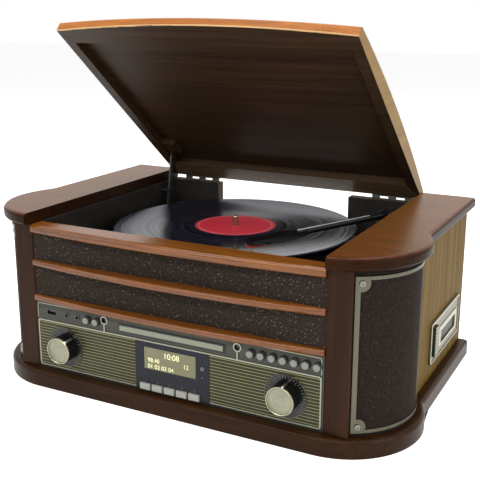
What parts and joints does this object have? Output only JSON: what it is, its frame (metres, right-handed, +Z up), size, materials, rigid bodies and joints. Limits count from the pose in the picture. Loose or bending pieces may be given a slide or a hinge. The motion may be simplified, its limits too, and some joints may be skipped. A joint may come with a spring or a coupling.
{
  "type": "stereo music centre",
  "caption": "Wooden music centre with a record player under a hinged lid, a disc drawer, a radio fascia with two knobs, a side cassette slot and curved corner loudspeakers.",
  "frame": {"origin": "middle of the plinth's flat bottom face", "axes": "+X to the right seen from the front, +Y to the back, +Z up"},
  "size_m": [0.533, 0.3525, 0.4315],
  "materials": {
    "walnut": "satin lacquer",
    "plinth_wood": "satin lacquer",
    "rail_wood": "gloss lacquer",
    "veneer": "satin, straight vertical grain",
    "fibreboard": "plain",
    "speckled_cloth": "woven, flecked",
    "satin_nickel": "satin",
    "chrome": "polished",
    "fascia_metal": "satin",
    "champagne": "brushed",
    "striped_plate": "printed stripes",
    "display_black": "gloss",
    "lcd": "backlit",
    "grey_key": "satin",
    "black_plastic": "fine texture",
    "vinyl": "grooved gloss",
    "rubber": "matte",
    "steel": "plain",
    "brass": "plain",
    "dark_metal": "plain",
    "board_green": "solder mask",
    "smoked": "smoked"
  },
  "bodies": {
    "cabinet": {"plinth": "plinth_wood", "bottom_board": "fibreboard", "rubber_feet": "rubber", "front_posts": "plinth_wood", "side_panels": "veneer", "top_boards": "walnut", "rear_panel": "fibreboard", "front_rails": "rail_wood", "cloth_strips": "speckled_cloth", "speaker_grilles": "speckled_cloth", "speaker_drivers": "dark_metal", "grille_trims": "satin_nickel", "fasteners": "steel", "fascia": "fascia_metal", "dial_plates": "striped_plate", "display_bezel": "display_black", "lcd_glass": "lcd", "front_sockets": "steel", "circuit_board": "board_green", "cd_mechanism": "black_plastic", "turntable_deck": "black_plastic", "drive_motor": "dark_metal", "drive_belt": "rubber", "tonearm_turret": "black_plastic", "cabinet_hinges": "steel", "cassette_deck": "dark_metal", "cassette_bezel": "satin_nickel", "power_transformer": "dark_metal", "rear_connectors": "black_plastic"},
    "platter": {"platter": "black_plastic", "slip_mat": "rubber", "record": "vinyl"},
    "motor_pulley": {"motor_pulley": "brass"},
    "tonearm_yoke": {"tonearm_yoke": "black_plastic"},
    "tonearm": {"tonearm": "black_plastic", "cartridge": "black_plastic"},
    "cue_lever": {"cue_lever": "black_plastic"},
    "speed_lever": {"speed_lever": "black_plastic"},
    "lid": {"lid": "walnut", "lid_hinge_leaves": "steel"},
    "lid_stay": {"lid_stay": "steel"},
    "volume_knob": {"volume_knob": "champagne"},
    "tuning_knob": {"tuning_knob": "champagne"},
    "cd_tray": {"cd_tray": "grey_key"},
    "cassette_flap": {"cassette_flap": "smoked"},
    "cassette_button": {"cassette_button": "satin_nickel"},
    "display_key_1": {"display_key_1": "grey_key"},
    "display_key_2": {"display_key_2": "grey_key"},
    "display_key_3": {"display_key_3": "grey_key"},
    "display_key_4": {"display_key_4": "grey_key"},
    "display_key_5": {"display_key_5": "grey_key"},
    "left_button_1": {"left_button_1": "champagne"},
    "left_button_2": {"left_button_2": "champagne"},
    "right_button_1": {"right_button_1": "champagne"},
    "right_button_2": {"right_button_2": "champagne"},
    "right_button_3": {"right_button_3": "champagne"},
    "right_button_4": {"right_button_4": "champagne"},
    "right_button_5": {"right_button_5": "champagne"},
    "right_button_6": {"right_button_6": "champagne"},
    "right_button_7": {"right_button_7": "champagne"}
  },
  "joints": [
    {"name": "lid_hinge", "type": "hinge", "parent": "cabinet", "child": "lid", "pos_m": [0, 0.1715, 0.203], "axis": [1, 0, 0], "range_deg": [0, 39.4]},
    {"name": "lid_stay_pivot", "type": "hinge", "parent": "lid", "child": "lid_stay", "pos_m": [-0.1705, 0.12723, 0.24001], "axis": [1, 0, 0], "range_deg": [-13.29, 0.3]},
    {"name": "platter_spin", "type": "hinge", "parent": "cabinet", "child": "platter", "pos_m": [-0.0065, 0.0115, 0.16], "axis": [0, 0, 1], "continuous": true},
    {"name": "motor_pulley_spin", "type": "hinge", "parent": "cabinet", "child": "motor_pulley", "pos_m": [-0.09137, 0.0605, 0.15], "axis": [0, 0, 1], "continuous": true},
    {"name": "tonearm_swing", "type": "hinge", "parent": "cabinet", "child": "tonearm_yoke", "pos_m": [0.158, 0.107, 0.1785], "axis": [0, 0, 1], "range_deg": [-11, 24]},
    {"name": "tonearm_lift", "type": "hinge", "parent": "tonearm_yoke", "child": "tonearm", "pos_m": [0.158, 0.107, 0.191], "axis": [-0.9063, 0.4226, 0], "range_deg": [0, 3]},
    {"name": "cue_lever_turn", "type": "hinge", "parent": "cabinet", "child": "cue_lever", "pos_m": [0.17, 0.085, 0.172], "axis": [-1, 0, 0], "range_deg": [0, 35]},
    {"name": "speed_lever_turn", "type": "hinge", "parent": "cabinet", "child": "speed_lever", "pos_m": [0.158, -0.109, 0.141], "axis": [0, 0, 1], "range_deg": [-25, 25]},
    {"name": "volume_knob_turn", "type": "hinge", "parent": "cabinet", "child": "volume_knob", "pos_m": [-0.1425, -0.159, 0.053], "axis": [0, -1, 0], "range_deg": [-110, 190]},
    {"name": "tuning_knob_turn", "type": "hinge", "parent": "cabinet", "child": "tuning_knob", "pos_m": [0.1425, -0.159, 0.053], "axis": [0, -1, 0], "range_deg": [-140, 160]},
    {"name": "cd_tray_slide", "type": "slide", "parent": "cabinet", "child": "cd_tray", "axis": [0, -1, 0], "range_m": [0, 0.12]},
    {"name": "cassette_flap_turn", "type": "hinge", "parent": "cabinet", "child": "cassette_flap", "pos_m": [0.2453, 0.0895, 0.0698], "axis": [0, 1, 0], "range_deg": [0, 75], "stiffness_Nm_per_rad": 0.01, "springref_deg": -11.46},
    {"name": "cassette_button_slide", "type": "slide", "parent": "cabinet", "child": "cassette_button", "axis": [-1, 0, 0], "range_m": [0, 0.003], "stiffness_N_per_m": 400},
    {"name": "display_key_1_press", "type": "slide", "parent": "cabinet", "child": "display_key_1", "axis": [0, 1, 0], "range_m": [0, 0.0015], "stiffness_N_per_m": 300},
    {"name": "display_key_2_press", "type": "slide", "parent": "cabinet", "child": "display_key_2", "axis": [0, 1, 0], "range_m": [0, 0.0015], "stiffness_N_per_m": 300},
    {"name": "display_key_3_press", "type": "slide", "parent": "cabinet", "child": "display_key_3", "axis": [0, 1, 0], "range_m": [0, 0.0015], "stiffness_N_per_m": 300},
    {"name": "display_key_4_press", "type": "slide", "parent": "cabinet", "child": "display_key_4", "axis": [0, 1, 0], "range_m": [0, 0.0015], "stiffness_N_per_m": 300},
    {"name": "display_key_5_press", "type": "slide", "parent": "cabinet", "child": "display_key_5", "axis": [0, 1, 0], "range_m": [0, 0.0015], "stiffness_N_per_m": 300},
    {"name": "left_button_1_press", "type": "slide", "parent": "cabinet", "child": "left_button_1", "axis": [0, 1, 0], "range_m": [0, 0.0012], "stiffness_N_per_m": 300},
    {"name": "left_button_2_press", "type": "slide", "parent": "cabinet", "child": "left_button_2", "axis": [0, 1, 0], "range_m": [0, 0.0012], "stiffness_N_per_m": 300},
    {"name": "right_button_1_press", "type": "slide", "parent": "cabinet", "child": "right_button_1", "axis": [0, 1, 0], "range_m": [0, 0.0012], "stiffness_N_per_m": 300},
    {"name": "right_button_2_press", "type": "slide", "parent": "cabinet", "child": "right_button_2", "axis": [0, 1, 0], "range_m": [0, 0.0012], "stiffness_N_per_m": 300},
    {"name": "right_button_3_press", "type": "slide", "parent": "cabinet", "child": "right_button_3", "axis": [0, 1, 0], "range_m": [0, 0.0012], "stiffness_N_per_m": 300},
    {"name": "right_button_4_press", "type": "slide", "parent": "cabinet", "child": "right_button_4", "axis": [0, 1, 0], "range_m": [0, 0.0012], "stiffness_N_per_m": 300},
    {"name": "right_button_5_press", "type": "slide", "parent": "cabinet", "child": "right_button_5", "axis": [0, 1, 0], "range_m": [0, 0.0012], "stiffness_N_per_m": 300},
    {"name": "right_button_6_press", "type": "slide", "parent": "cabinet", "child": "right_button_6", "axis": [0, 1, 0], "range_m": [0, 0.0012], "stiffness_N_per_m": 300},
    {"name": "right_button_7_press", "type": "slide", "parent": "cabinet", "child": "right_button_7", "axis": [0, 1, 0], "range_m": [0, 0.0012], "stiffness_N_per_m": 300}
  ],
  "couplings": [
    {"joint": "lid_stay_pivot", "follows": "lid_hinge", "ratio": -0.3297},
    {"joint": "motor_pulley_spin", "follows": "platter_spin", "ratio": 10.286},
    {"joint": "tonearm_lift", "follows": "cue_lever_turn", "ratio": 0.0857}
  ]
}
